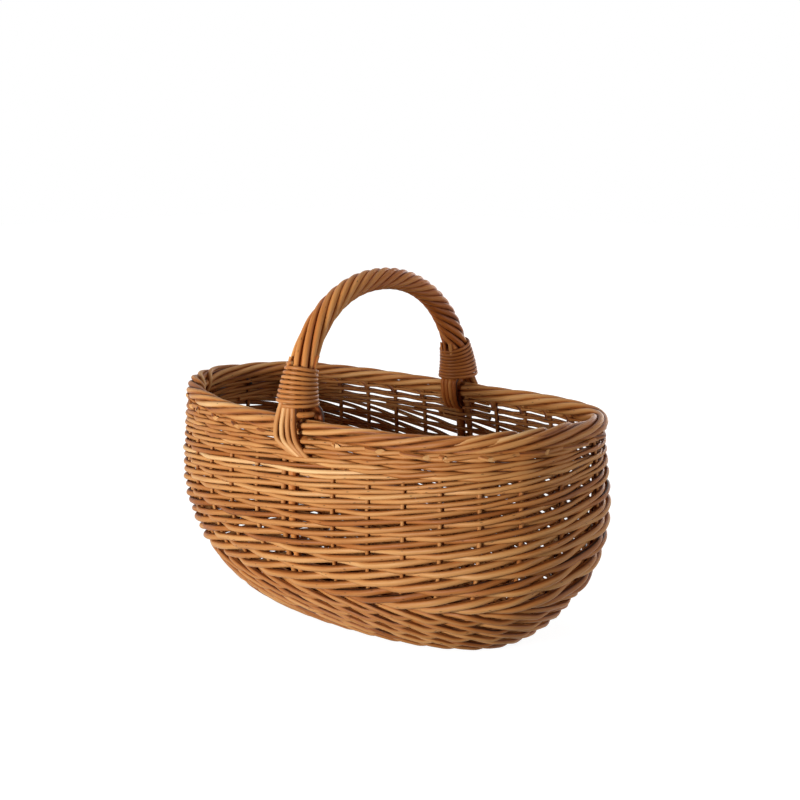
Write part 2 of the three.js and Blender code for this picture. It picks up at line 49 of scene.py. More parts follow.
# The wall's middle surface: half length, half width and height of its three ruling ovals
FOOT_HALF_LENGTH = 166 * MM
FOOT_HALF_WIDTH = 78 * MM
FOOT_HEIGHT = 7.5 * MM
BELLY_HALF_LENGTH = 242 * MM
BELLY_HALF_WIDTH = 134 * MM
BELLY_HEIGHT = 135 * MM
RIM_HALF_LENGTH = 235 * MM
RIM_HALF_WIDTH = 126 * MM
RIM_HEIGHT = 216 * MM
OVAL_POWER = 2.6  # 2 is an ellipse, more is squarer
FOOT_POWER = 2.2
SHEER = 7 * MM  # how much higher the wall's two ends stand than its sides
SHEER_HEIGHT = 70 * MM  # up to which the ends rise
FOOT_TURN = math.radians(21)
WALL_TOP = 206.7 * MM
OVAL_STEPS = 2400  # round the foot, to space the stakes evenly
CLIMB_STEPS = 420  # up the wall's side
SLOPE_STEP = 0.01 * MM

# Stakes
STAKE_COUNT = 30
HALF_STAKES = STAKE_COUNT // 2
STAKE_RADIUS = 2.3 * MM
STAKE_HEAD = 214 * MM
LINER_RADIUS = 3.2 * MM
LINER_PLACE = 0.18  # from a bow leg, in stake spacings
LEG_EASE = 1.25  # stake spacings from a bow leg within which the weave gives way to it
UPRIGHT_STEPS = 40

# Weave
REPEAT = 3  # in front of two stakes, behind one
WEAVE_PRESS = 1.3 * MM  # of a rod against the stakes that it passes
WALE_RODS = 3
WALE_SIZES = (0.93, 1.04)  # from rod to rod, as shares of the radius
WALE_WANDER = 0.35 * MM
UPSETT_ROUNDS = 5
UPSETT_PITCH = 12.5 * MM
UPSETT_RADIUS = 2.95 * MM
UPSETT_TONE = 0.58
SIDING_LEVELS = 8
SIDING_PITCH = 20.8 * MM  # at the lowest level
SIDING_TAPER = 1.05 * MM  # less pitch with each level
SIDING_THICKNESS = 0.18  # rod radius as a share of the pitch
SIDING_SWELL = 0.13  # how much thicker the rods' butts are, low at the ends and the far side
SIDING_THIN = 0.16  # how much thinner their tips are, high on the far side
SIDING_FALL = 1.5  # how fast the swell fades towards the near side
SIDING_SIZES = (0.93, 1.07)
SIDING_WANDER = 0.75 * MM  # up and down
SIDING_STRAY = 0.3 * MM  # in and out
TOP_ROUNDS = 3
TOP_PITCH = 8.3 * MM
TOP_RADIUS = 2.5 * MM
TOP_TONE = 0.5
TOP_THIN = 0.24  # how much thinner the top rods run on the far side
TOP_CALM = 0.6  # how much less they sway there
OPEN_TURN = 0.5  # where the far side is most open: radians off its middle
OPEN_SLOPE = 4.0  # how fast it closes from there
OPEN_START = 1.3
UPSETT_NODES = 4
TOP_NODES = 2
FIRST_ROW_RISE = -0.7 * MM
SIDES_OF_STAKES = (-1.0, -0.05, 1.0, 1.1, 1.0, -0.05)  # over one repeat: behind, in front, in front
UPSETT_SWAY = (0.0, 0.28, 0.32, 0.0, -0.32, -0.28)  # level in a round, as a share of its pitch
TOP_SWAY = (0.0, -0.2, -0.25, 0.0, 0.25, 0.2)
SIDING_SWAY = (0.0, 0.01, -0.01, 0.02, 0.06, 0.03)  # level off the steady climb
STEPS_PER_STAKE = 9
ROD_END = 0.3  # how far a rod's end runs past its last stake, in stake spacings

# Border
BORDER_RADIUS = 9 * MM
BORDER_SPAN = 5.4  # stake spacings in which a strand turns once round the border
STRAND_RADIUS = 3.3 * MM
STRAND_CIRCLE = 5.7 * MM
STRAND_TIP = 0.7  # share of its radius that a strand keeps at its cut end
STRAND_STEPS = 60
STRAND_SIZES = (0.86, 1.08)
STRAND_CIRCLES = (0.94, 1.06)  # from strand to strand, as shares of the circle
STRAND_START = -92  # degrees from the border's outer side
STRAND_LEAN = 0.08  # radians, either way
STRAND_WAVES = 6
STRAND_WANDER = 0.5 * MM
STRAND_SHIFT = 0.3  # from its stake to where it starts to turn, in stake spacings
STRAND_SLANT = -1.7  # of the cut end
BORDER_TONE = 0.58

# A strand's root under the border and its end below it, by stake spacings, mm outwards and mm up
STRAND_ROOT = ((0, 0, -16), (0.05, 0, -10.5))
STRAND_END = ((0.2, 3, -8), (0.4, 6.8, -9), (0.55, 8.4, -9.8))
END_LENGTHS = (-0.15, 0.5)  # more or less, in stake spacings
END_DROPS = (-1.8, 1.2)  # mm
CURVE_STEPS = 2
TIP_STEPS = 10

# Stakes bent over the border at the basket's two ends: places in stake spacings from the near bow leg, and
# a course by stake spacings, mm outwards and mm up from the border's middle
BEND_PLACES = (6.1, 6.9, 7.6, 23.5, 24.2, 24.9)
BEND_COURSE = (
    (0, -5, -10),
    (0, -7.8, -4),
    (-0.04, -8.4, 2.5),
    (-0.2, -5.2, 7.6),
    (-0.6, 0.4, 9),
    (-1, 3.8, 7.2),
    (-1.4, 4.4, 4),
    (-1.7, 3.6, 0.5),
)
BEND_RADIUS = 3.1 * MM
BEND_TIP_RADIUS = 2.6 * MM
BEND_STEPS = 8
BEND_TONE = 0.62

# Bow handle
BORDER_TOP = RIM_HEIGHT + BORDER_RADIUS
HANDLE_POWER = 2.1
BOW_RADIUS = 5.5 * MM
GRIP_RADIUS = 11.2 * MM
ARCH_RISE = 135 * MM - GRIP_RADIUS
HANDLE_LEAN = 6 * MM  # at the top, towards the near side
BOW_STEPS = 120
ARCH_STEP = 0.002  # radians
ROPING_FOOT = BORDER_TOP + 3 * MM
NEAR_LAPPING_FOOT = ROPING_FOOT + 10 * MM
FAR_LAPPING_FOOT = ROPING_FOOT + 3 * MM
LAPPING_TURNS = 9
LAPPING_PITCH = 4 * MM
LAPPING_LENGTH = LAPPING_TURNS * LAPPING_PITCH
BUNDLE_FOOT_RADIUS = 20 * MM
BUNDLE_TOP_RADIUS = 13.2 * MM
BUNDLE_TOP = NEAR_LAPPING_FOOT + LAPPING_LENGTH
BUNDLE_EASE = 70 * MM
ROPE_RODS = 8
# Painted light and shade: the roping is paler at the lit near foot and darker at the shaded far foot
ROPE_LIT_TO_SHADED_TONES = (0.9, 0.2)  # at the near and the far foot
ROPE_ROD_LIMIT = 3.4 * MM  # radius
ROPE_PRESS = 1.15  # rods pressed together side by side
ROPE_LAY = ((0.0, 0.1, 0.3, 0.5, 0.7, 0.88, 1.0), (4, 7, 19, 22, 27, 27, 22))  # share of the arch, degrees
ROPE_COVER = 4 * MM  # of the roping's ends by the lappings
ROPE_STEPS = 260
LAPPING_ROD_RADIUS = 1.45 * MM
LAPPING_WIDTH = 1.97 * MM
LAPPING_STEPS = 40
LAPPING_WAVES = 60
LAPPING_WANDER = 0.15 * MM
# Painted light and shade: the near lapping is made paler, as lit, and the far one darker, as in shade
NEAR_LAPPING_LIT_TONE = 0.95
FAR_LAPPING_SHADED_TONE = 0.65

# Tails: height, distance from the bow's middle plane, and places along X of four rods side by side, in mm
TAIL_RADIUS = 3.4 * MM
TAIL_TIP_RADIUS = 2.7 * MM
TAIL_STEPS = 10
TAIL_RISE = (7, 7, 5)  # of the first levels at the near foot, whose lapping is higher, in mm
OUTER_TAIL_LEVELS = (244, 233, 226, 217, 203, 190, 185)
OUTER_TAIL_DEPTHS = (136.5, 139, 140.3, 141, 139.5, 135.5, 129)
OUTER_TAIL_PLACES = (
    (-7.5, -2.5, 2.5, 7.5),
    (-7.5, -2.2, 3.2, 8.4),
    (-10, -3.6, 2.8, 9.2),
    (-13.5, -5.6, 2.2, 9.8),
    (-12.5, -3.8, 4.6, 12.8),
    (8, 13, 18, 24),
    (13, 18, 23, 29),
)
INNER_TAIL_LEVELS = (244, 233, 226, 218, 209, 201, 196)
INNER_TAIL_DEPTHS = (119, 117, 112.5, 112.5, 113.5, 117, 122)
NEAR_INNER_TAIL_PLACES = (
    (8, 5, 1, -3),
    (10.5, 6.5, 2, -2),
    (17, 11.5, 6, 0.5),
    (19.5, 13.5, 6.8, 0.5),
    (20, 13, 6, 0),
    (11, 7, 2, -2),
    (8, 4, -1, -5),
)
FAR_INNER_TAIL_PLACES = (
    (9, 3.5, -1.5, -6.5),
    (9.5, 4.2, -1, -6),
    (10, 4.8, -0.4, -5.6),
    (10, 4.8, -0.4, -5.6),
    (9.6, 4.4, -0.8, -6),
    (9, 4, -1.2, -6.2),
    (9, 4, -1, -6),
)
OUTER_TAIL_TONE = 0.62
INNER_TAIL_TONE = 0.3

# Cut rod ends beside the lappings: degrees round the arch from its outer side, and rise in mm
STUB_RADIUS = 2.1 * MM
STUB_LIFT = 0.6 * MM
STUB_ROOT = 6 * MM
STUB_STEPS = 12
STUB_SLANT = 0.5
NEAR_STUBS = ((100, 11), (-20, 4))
FAR_STUBS = ((160, 8), (186, 9), (212, 7))
CURL_HEIGHT = 230.5 * MM
CURL_TURNS = (32, 96)
CURL_REACH = (15 * MM, 17.5 * MM)
CURL_RADIUS = 3 * MM
CURL_SLANT = 0.4

# Base
RING_EDGE = 2.4 * MM
RING_SPACING = 5.4 * MM
RING_RADIUS = 2.5 * MM
RING_HEIGHT = 6.4 * MM
RING_SWAY = 2.2 * MM
RING_WAVE = 52 * MM
RING_LEAST_WAVES = 2
RING_SHIFT = 0.4  # radians at most
RING_EASE = 11 * MM
RING_GRIP = 1.6  # how broadly a rod stays over or under a stick
RING_DROP = 1.9 * MM
RING_LIFT = 3.6 * MM
RING_CALM = 0.27
RING_STEPS = 241
RING_SIDES = 8
STICK_STEPS = 20
LONG_STICKS = 3
LONG_STICK_RADIUS = 4 * MM
LONG_STICK_SPACING = 34 * MM
LONG_STICK_HEIGHT = 11.5 * MM
CROSS_STICKS = 4
CROSS_STICK_RADIUS = 2.8 * MM
CROSS_STICK_SPACING = 70 * MM
CROSS_STICK_HEIGHT = 3.1 * MM
STICK_EDGE = 5 * MM
STICK_WAVES = 4
STICK_WANDER = 0.6 * MM

# Rods: a tone runs from 0, dark, to 1, pale
ROD_SIDES = 12
SHARP_ANGLE = math.radians(50)
SLOW_WANDER = (0.6, 0.9)  # share and rate
QUICK_WANDER = (0.4, 2.3)
GRAIN_SHIFT = 5  # metres at most, so that no two rods are alike
PLAIN_TONE = 0.5
TONE_SPREAD = 0.14
# Painted shade: rods are darkened where they turn towards their neighbours, standing in for shade in the
# crevices between them
PAINTED_CREVICE_DEPTH = 0.9  # how much darker a rod is along its neighbours
PAINTED_CREVICE_POWER = 1.6

# Willow bark: scales along and across a rod, and how much each pattern weighs
STREAK_SCALE = (30, 900, 900)
STREAK_DETAIL = 4.0
STREAK_ROUGHNESS = 0.6
STREAK_WEIGHT = 0.265
PATCH_SCALE = (14, 160, 160)
PATCH_DETAIL = 3.0
PATCH_ROUGHNESS = 0.55
PATCH_WEIGHT = 0.44
TONE_WEIGHT = 0.55
TONE_BASE = -0.075
SPOT_SCALE = (95, 330, 330)
SPOT_RANGE = (("From Min", 0.18), ("From Max", 0.09), ("To Min", 0.0), ("To Max", 1.0))
SPOT_CHOICE = 0.6  # share of the spots left out
SPOT_STRENGTH = 0.75
SPOT_COLOUR = (0.06, 0.022, 0.008, 1)
SPOT_HEIGHT = 0.4
DULL_SPREAD = 0.25  # of the roughness, over the patches
BUMP_STRENGTH = 0.35
BUMP_DISTANCE = 0.6 * MM
SHINE = 0.18

# Floor, light and camera: lamps by name, place, size and power
FLOOR_SIZE = 6.0
FLOOR_COLOUR = (0.24, 0.24, 0.24, 1)
FLOOR_ROUGHNESS = 0.9
FLOOR_GLOW = (("From Min", 0.3), ("From Max", 1.3), ("To Min", 0.92), ("To Max", 1.0))  # by metres
WHITE = (1, 1, 1, 1)
LAMPS = (
    ("key", (-0.1, -1.28, 0.32), 0.36, 16.5),
    ("top", (0.0, 0.35, 1.9), 1.2, 8),
    ("fill", (1.7, 0.7, 0.45), 1.2, 12),
    ("back", (-0.3, 2.0, 0.35), 1.2, 11),
)
LAMP_TARGET = (0, 0, 0.15)
SURROUND = 0.02  # light from all round
AZIMUTH = math.radians(40.383)
ELEVATION = math.radians(11.463)
SHOT_DISTANCE = 1.3
TARGET_HEIGHT = 222.66 * MM
TARGET_SHIFT = 16.98 * MM  # to the right
SENSOR_WIDTH = 36
FOCAL_LENGTH = 56.45


# Curves

def signed_power(value, power):
    """A power that keeps the value's sign."""
    return np.sign(value) * np.abs(value) ** power


def spline(before, here, after, later, share):
    """A smooth step from here to after."""
    bend = 2 * before - 5 * here + 4 * after - later
    twist = 3 * (here - after) + later - before
    return here + 0.5 * share * (after - before + share * (bend + share * twist))


def loop_curve(values, phase):
    """A smooth closed curve through values spaced evenly over one turn of the phase."""
    values = np.asarray(values)
    count = len(values)
    place = np.mod(phase, 1) * count
    first = np.floor(place).astype(int)
    four = [values[(first + step) % count] for step in (-1, 0, 1, 2)]
    return spline(*four, place - first)


def open_curve(controls, steps):
    """A smooth run of points through control points, with so many steps between two."""
    controls = np.asarray(controls, float)
    padded = np.vstack([2 * controls[0] - controls[1], controls, 2 * controls[-1] - controls[-2]])
    place = np.linspace(0, len(controls) - 1, (len(controls) - 1) * steps + 1)
    first = np.minimum(place.astype(int), len(controls) - 2)
    four = [padded[first + step] for step in range(4)]
    return spline(*four, (place - first)[:, None])


def wander(places, amount):
    """A gentle unevenness along a rod."""
    shifts = rng.uniform(0, 2 * math.pi, 2)
    waves = [
        share * np.sin(rate * places + shift)
        for (share, rate), shift in zip((SLOW_WANDER, QUICK_WANDER), shifts)
    ]
    return amount * sum(waves)


def unit(vectors):
    """Vectors of length 1 in the same directions."""
    return vectors / np.linalg.norm(vectors, axis=-1, keepdims=True)


# Wall shape

def oval_at(heights):
    """Half length, half width and power of the wall's oval at each height."""
    curve = (BELLY_HEIGHT - FOOT_HEIGHT) / math.cos(FOOT_TURN)
    drop = np.clip((BELLY_HEIGHT - heights) / curve, 0, 1)
    low = (1 - np.sqrt(1 - drop**2)) / (1 - math.sin(FOOT_TURN))
    high = (np.clip(heights - BELLY_HEIGHT, 0, None) / (RIM_HEIGHT - BELLY_HEIGHT)) ** 2
    lengths = BELLY_HALF_LENGTH - low * (BELLY_HALF_LENGTH - FOOT_HALF_LENGTH)
    widths = BELLY_HALF_WIDTH - low * (BELLY_HALF_WIDTH - FOOT_HALF_WIDTH)
    lengths = lengths - high * (BELLY_HALF_LENGTH - RIM_HALF_LENGTH)
    widths = widths - high * (BELLY_HALF_WIDTH - RIM_HALF_WIDTH)
    return lengths, widths, OVAL_POWER - low * (OVAL_POWER - FOOT_POWER)


def oval_shares(powers, angles):
    """Points of an oval as shares of its half length and half width."""
    return signed_power(np.cos(angles), 2 / powers), signed_power(np.sin(angles), 2 / powers)


def smooth(share):
    """A share held between 0 and 1 and eased at both ends."""
    share = np.clip(share, 0, 1)
    return share * share * (3 - 2 * share)


def wall_at(angles, heights):
    """The wall's middle surface: its points, outward directions and level outward directions."""
    lengths, widths, powers = oval_at(heights)
    longer, wider, _ = oval_at(heights + SLOPE_STEP)
    x, y = oval_shares(powers, angles)
    slope_x = signed_power(x, powers - 1) / lengths
    slope_y = signed_power(y, powers - 1) / widths
    grow_x = np.abs(x) ** powers * (longer - lengths) / SLOPE_STEP / lengths
    grow_y = np.abs(y) ** powers * (wider - widths) / SLOPE_STEP / widths
    lift = SHEER * x**2 * smooth((heights - FOOT_HEIGHT) / (SHEER_HEIGHT - FOOT_HEIGHT))
    points = np.stack([lengths * x, widths * y, heights + lift], -1)
    out = unit(np.stack([slope_x, slope_y, -grow_x - grow_y], -1))
    level = unit(np.stack([slope_x, slope_y, 0 * slope_x], -1))
    return points, out, level


# Angles round the foot oval against stake spacings walked from the near bow leg
ring_angles = np.linspace(1.5 * math.pi, 3.5 * math.pi, OVAL_STEPS + 1)
foot_points = np.stack(oval_shares(FOOT_POWER, ring_angles), -1) * (FOOT_HALF_LENGTH, FOOT_HALF_WIDTH)
foot_walk = np.append(0, np.cumsum(np.linalg.norm(np.diff(foot_points, axis=0), axis=1)))
ring_turns = STAKE_COUNT * foot_walk / foot_walk[-1]

# Heights against distances walked up the wall's side
walk_heights = np.linspace(FOOT_HEIGHT, RIM_HEIGHT, CLIMB_STEPS + 1)
walk_rise = np.hypot(np.diff(walk_heights), np.diff(oval_at(walk_heights)[1]))
walk_distances = np.append(0, np.cumsum(walk_rise))


def angle_at(turns):
    """The oval's angle so many stake spacings from the near bow leg."""
    return np.interp(np.mod(turns, STAKE_COUNT), ring_turns, ring_angles)


def height_at(distances):
    """The height reached by walking so far up the wall from its foot."""
    return np.interp(distances, walk_distances, walk_heights)


def leg_radius(heights):
    """A bow leg swells from a stake's size at the foot to the bow's full size under the border."""
    share = np.clip((heights - FOOT_HEIGHT) / (WALL_TOP - FOOT_HEIGHT), 0, 1)
    return STAKE_RADIUS + share * (BOW_RADIUS - STAKE_RADIUS)


def stake_radius_at(turns, heights):
    """The thickness that the weave passes: a stake's, swelling to a bow leg's beside the legs."""
    beside = np.abs(np.mod(turns + HALF_STAKES / 2, HALF_STAKES) - HALF_STAKES / 2)
    return STAKE_RADIUS + smooth(LEG_EASE - beside) * (leg_radius(heights) - STAKE_RADIUS)


# Rods

def rod(path, facing, radii, tone=PLAIN_TONE, flat=1.0, slant=0.0, sides=ROD_SIDES, outward=None):
    """One rod along a path: its points, faces, grain and each point's tone. flat narrows it along the facing,
    slant is how its last end is cut, and painted shade darkens it where it turns from the outward direction
    to its neighbours."""
    count = len(path)
    radii = np.broadcast_to(radii, count)
    tangents = unit(np.gradient(path, axis=0))
    u = unit(facing - np.sum(facing * tangents, -1, keepdims=True) * tangents)
    v = np.cross(tangents, u)
    turn = 2 * math.pi * np.arange(sides) / sides
    across = np.cos(turn)[None, :, None] * u[:, None, :] * flat + np.sin(turn)[None, :, None] * v[:, None, :]
    rings = path[:, None, :] + radii[:, None, None] * across
    rings[-1] += slant * radii[-1] * np.cos(turn)[:, None] * tangents[-1]
    centres = rings[[0, -1]].mean(axis=1)
    points = np.vstack([rings.reshape(-1, 3), centres])
    here = np.arange(count - 1)[:, None] * sides + np.arange(sides)[None, :]
    beside = np.arange(count - 1)[:, None] * sides + (np.arange(sides)[None, :] + 1) % sides
    walls = np.stack([here, beside, beside + sides, here + sides], -1).reshape(-1, 4)
    first, last, tail = count * sides, count * sides + 1, (count - 1) * sides
    caps = []
    for side in range(sides):
        after = (side + 1) % sides
        caps.append((first, after, side))
        caps.append((last, tail + side, tail + after))
    length = np.append(0, np.cumsum(np.linalg.norm(np.diff(path, axis=0), axis=1)))
    along = np.repeat(length[:, None], sides, 1)
    round_y = radii[:, None] * np.cos(turn)[None, :]
    round_z = radii[:, None] * np.sin(turn)[None, :]
    grain = np.stack([along, round_y, round_z], -1).reshape(-1, 3)
    grain = np.vstack([grain, [length[0], 0, 0], [length[-1], 0, 0]])
    grain += rng.uniform(0, GRAIN_SHIFT, 3)
    shade = np.clip(np.broadcast_to(tone, count) + rng.normal(0, TONE_SPREAD), 0, 1)
    # Painted shade: each ring's tone darkens where its surface turns from the outward direction towards the
    # neighbouring rods.
    outward = u if outward is None else outward
    turned = 1 - np.clip(np.abs(np.sum(unit(across) * outward[:, None, :], -1)), 0, 1)
    tones_and_painted_shade = (shade[:, None] - PAINTED_CREVICE_DEPTH * turned**PAINTED_CREVICE_POWER).ravel()
    tones_and_painted_shade = np.append(tones_and_painted_shade, shade[[0, -1]])
    return {"points": points, "walls": walls, "caps": caps, "grain": grain, "tones_and_painted_shade": tones_and_painted_shade}


def piece(name, rods, materials, nodes):
    """Joins rods into one object that rides on the part and stands for CAD nodes."""
    points, faces, cut, start = [], [], [], 0
    for each in rods:
        points.append(each["points"])
        faces += (each["walls"] + start).tolist()
        faces += [[corner + start for corner in face] for face in each["caps"]]
        cut += [0] * len(each["walls"]) + [1] * len(each["caps"])
        start += len(each["points"])
    mesh = bpy.data.meshes.new(name)
    mesh.from_pydata(np.vstack(points).tolist(), [], faces)
    mesh.polygons.foreach_set("use_smooth", [True] * len(faces))
    mesh.polygons.foreach_set("material_index", cut)
    grain = mesh.attributes.new("grain", "FLOAT_VECTOR", "POINT")
    grain.data.foreach_set("vector", np.vstack([each["grain"] for each in rods]).ravel())
    # The tone attribute holds each rod's own tone together with its painted crevice shade.
    tone = mesh.attributes.new("tone", "FLOAT", "POINT")
    tone.data.foreach_set("value", np.concatenate([each["tones_and_painted_shade"] for each in rods]))
    mesh.set_sharp_from_angle(angle=SHARP_ANGLE)
    for material in materials:
        mesh.materials.append(material)
    made = bpy.data.objects.new(name, mesh)
    bpy.context.scene.collection.objects.link(made)
    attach(made, "root")
    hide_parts(*nodes)


# Materials

def add_node(tree, kind, **settings):
    """A shader node with its settings and unlinked inputs."""
    node = tree.nodes.new(kind)
    for key, value in settings.items():
        if key in node.inputs:
            node.inputs[key].default_value = value
        else:
            setattr(node, key, value)
    return node


def stretched(tree, source, scale):
    """Grain coordinates scaled along and across a rod."""
    mapping = add_node(tree, "ShaderNodeMapping", Scale=scale)
    tree.links.new(source.outputs["Vector"], mapping.inputs["Vector"])
    return mapping.outputs["Vector"]


def weighed(tree, value, weight, base):
    """value times weight plus base, where base is a number or another output."""
    node = add_node(tree, "ShaderNodeMath", operation="MULTIPLY_ADD")
    tree.links.new(value, node.inputs[0])
    node.inputs[1].default_value = weight
    if isinstance(base, float):
        node.inputs[2].default_value = base
    else:
        tree.links.new(base, node.inputs[2])
    return node.outputs["Value"]


def willow(name, stops, roughness):
    """Varnished willow bark: streaks and patches along each rod, dark spots, each rod's own tone, and painted
    shade where rods meet their neighbours.
    """
    material = bpy.data.materials.new(name)
    material.use_nodes = True
    tree = material.node_tree
    shader = tree.nodes["Principled BSDF"]
    grain = add_node(tree, "ShaderNodeAttribute", attribute_name="grain")
    tone = add_node(tree, "ShaderNodeAttribute", attribute_name="tone")

    streaks = add_node(tree, "ShaderNodeTexNoise", Scale=1.0)
    streaks.inputs["Detail"].default_value = STREAK_DETAIL
    streaks.inputs["Roughness"].default_value = STREAK_ROUGHNESS
    tree.links.new(stretched(tree, grain, STREAK_SCALE), streaks.inputs["Vector"])
    patches = add_node(tree, "ShaderNodeTexNoise", Scale=1.0)
    patches.inputs["Detail"].default_value = PATCH_DETAIL
    patches.inputs["Roughness"].default_value = PATCH_ROUGHNESS
    tree.links.new(stretched(tree, grain, PATCH_SCALE), patches.inputs["Vector"])
    # The tone attribute brings in each rod's own tone and its painted crevice shade.
    shade = weighed(tree, tone.outputs["Fac"], TONE_WEIGHT, TONE_BASE)
    shade = weighed(tree, streaks.outputs["Fac"], STREAK_WEIGHT, shade)
    shade = weighed(tree, patches.outputs["Fac"], PATCH_WEIGHT, shade)
    ramp = add_node(tree, "ShaderNodeValToRGB")
    elements = ramp.color_ramp.elements
    while len(elements) < len(stops):
        elements.new(1.0)
    for element, (place, colour) in zip(elements, stops):
        element.position = place
        element.color = (*colour, 1)
    tree.links.new(shade, ramp.inputs["Fac"])

    dots = add_node(tree, "ShaderNodeTexVoronoi", Scale=1.0)
    tree.links.new(stretched(tree, grain, SPOT_SCALE), dots.inputs["Vector"])
    spot = add_node(tree, "ShaderNodeMapRange", interpolation_type="SMOOTHSTEP")
    for key, value in SPOT_RANGE:
        spot.inputs[key].default_value = value
    tree.links.new(dots.outputs["Distance"], spot.inputs["Value"])
    lots = add_node(tree, "ShaderNodeSeparateColor")
    tree.links.new(dots.outputs["Color"], lots.inputs["Color"])
    chosen = add_node(tree, "ShaderNodeMath", operation="GREATER_THAN")
    chosen.inputs[1].default_value = SPOT_CHOICE
    tree.links.new(lots.outputs["Red"], chosen.inputs[0])
    marks = add_node(tree, "ShaderNodeMath", operation="MULTIPLY")
    tree.links.new(spot.outputs["Result"], marks.inputs[0])
    tree.links.new(chosen.outputs["Value"], marks.inputs[1])
    faint = weighed(tree, marks.outputs["Value"], SPOT_STRENGTH, 0.0)
    speckled = add_node(tree, "ShaderNodeMix", data_type="RGBA")
    tree.links.new(faint, speckled.inputs["Factor"])
    tree.links.new(ramp.outputs["Color"], speckled.inputs["A"])
    speckled.inputs["B"].default_value = SPOT_COLOUR
    tree.links.new(speckled.outputs["Result"], shader.inputs["Base Color"])

    dull = weighed(tree, patches.outputs["Fac"], DULL_SPREAD, roughness - DULL_SPREAD / 2)
    tree.links.new(dull, shader.inputs["Roughness"])
    shader.inputs["Specular IOR Level"].default_value = SHINE
    relief = weighed(tree, marks.outputs["Value"], SPOT_HEIGHT, streaks.outputs["Fac"])
    bump = add_node(tree, "ShaderNodeBump", Strength=BUMP_STRENGTH, Distance=BUMP_DISTANCE)
    tree.links.new(relief, bump.inputs["Height"])
    tree.links.new(bump.outputs["Normal"], shader.inputs["Normal"])
    return material


def srgb(red, green, blue):
    """A colour as the screen shows it, made linear."""
    return tuple(((c / 255 + 0.055) / 1.055) ** 2.4 for c in (red, green, blue))


# Colour ramps by tone: their darkest stops are reached mostly where painted crevice shade lowers a rod's
# tone.
HONEY = (
    (0.0, srgb(34, 15, 6)),
    (0.12, srgb(104, 53, 20)),
    (0.4, srgb(164, 98, 45)),
    (0.65, srgb(203, 145, 86)),
    (1.0, srgb(243, 205, 150)),
)
AMBER = (
    (0.0, srgb(60, 26, 8)),
    (0.12, srgb(116, 56, 19)),
    (0.4, srgb(174, 97, 41)),
    (0.65, srgb(208, 139, 74)),
    (1.0, srgb(238, 188, 122)),
)
RUSSET = (
    (0.0, srgb(46, 21, 8)),
    (0.12, srgb(88, 42, 16)),
    (0.43, srgb(138, 75, 31)),
    (0.69, srgb(172, 103, 48)),
    (1.0, srgb(206, 143, 81)),
)
CUT_WOOD = (
    (0.0, srgb(150, 92, 46)),
    (0.4, srgb(205, 148, 90)),
    (1.0, srgb(230, 184, 128)),
)

weave_willow = willow("weave_willow", HONEY, 0.48)
border_willow = willow("border_willow", HONEY, 0.46)
stake_willow = willow("stake_willow", HONEY, 0.52)
base_willow = willow("base_willow", RUSSET, 0.56)
handle_willow = willow("handle_willow", AMBER, 0.44)
lapping_willow = willow("lapping_willow", RUSSET, 0.4)
cut_willow = willow("cut_willow", CUT_WOOD, 0.7)


# Stakes

def wall_path(turns, distances, offsets):
    """Points beside the wall's middle surface, with its outward directions."""
    points, out, _ = wall_at(angle_at(turns), height_at(distances))
    return points + out * offsets[:, None], out


def upright(turn, radius):
    """A rod that climbs the wall from the mat's edge into the border."""
    heights = np.append(np.linspace(FOOT_HEIGHT, WALL_TOP, UPRIGHT_STEPS), STAKE_HEAD)
    points, _, level = wall_at(np.full(len(heights), angle_at(turn)), heights)
    return rod(points, level, radius)


stakes = [
    upright(stake, STAKE_RADIUS)
    for stake in range(STAKE_COUNT)
    if stake % HALF_STAKES
]
stakes += [
    upright(leg - LINER_PLACE, LINER_RADIUS)
    for leg in (0, HALF_STAKES)
]
stake_nodes = [f"stake_{stake}" for stake in range(STAKE_COUNT) if stake % HALF_STAKES]
piece("wall_stakes", stakes, (stake_willow, cut_willow), stake_nodes)


# Weave

def far_share(turns):
    """1 along the middle and the right of the far side, 0 along the near side."""
    return smooth(OPEN_SLOPE * np.sin(angle_at(turns) + OPEN_TURN) - OPEN_START)


def wale_rod(middle, sway, radius, tone, thin, calm, start):
    """One of the three rods of a round that goes level round the basket."""
    turns = start + np.linspace(ROD_END / 2, STAKE_COUNT - ROD_END / 2, STAKE_COUNT * STEPS_PER_STAKE)
    phase = (turns - start) / REPEAT
    radii = radius * (1 - thin * far_share(turns))
    swaying = loop_curve(sway, phase) * (1 - calm * far_share(turns))
    distances = middle + swaying + wander(turns, WALE_WANDER)
    reach = stake_radius_at(turns, height_at(distances)) + radii - WEAVE_PRESS
    offsets = reach * loop_curve(SIDES_OF_STAKES, phase)
    path, out = wall_path(turns, distances, offsets)
    return rod(path, out, radii * rng.uniform(*WALE_SIZES), tone)


def wale(rounds, foot, pitch, radius, sway, tone, thin=0.0, calm=0.0):
    """Rounds of three rods, each behind every third stake."""
    rods = []
    for number in range(rounds):
        for lane in range(WALE_RODS):
            start = number + lane + REPEAT * rng.integers(STAKE_COUNT // REPEAT)
            middle = foot + (number + 0.5) * pitch
            rods.append(wale_rod(middle, pitch * np.array(sway), radius, tone, thin, calm, start))
    return rods


